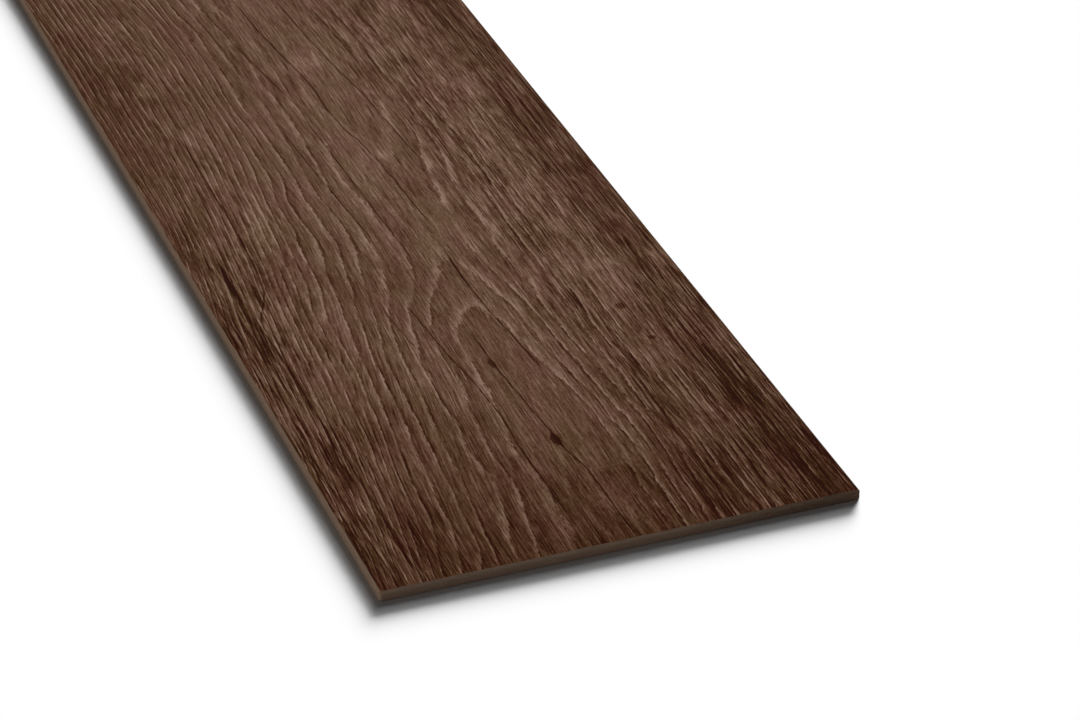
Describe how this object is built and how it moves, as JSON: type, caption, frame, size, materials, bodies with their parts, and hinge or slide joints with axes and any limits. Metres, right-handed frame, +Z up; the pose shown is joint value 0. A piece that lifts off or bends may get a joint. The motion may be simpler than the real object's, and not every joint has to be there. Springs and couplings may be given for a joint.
{
  "type": "vinyl floor plank",
  "caption": "Flat rectangular loose-lay vinyl floor plank with a dark embossed wood-grain wear face, bevelled top edges and plain butt sides.",
  "frame": {"origin": "centre of the underside, on the subfloor", "axes": "+Y along the plank, from the end nearest the viewer in the picture to the far end; +X across its width; +Z up out of the wear face"},
  "size_m": [0.2286, 1.2192, 0.005],
  "materials": {
    "plank_vinyl": "dark brown wood-grain print under an embossed matt wear layer, grey-brown filled vinyl at the cut edges"
  },
  "bodies": {
    "root": {"plank": "plank_vinyl"}
  },
  "joints": []
}
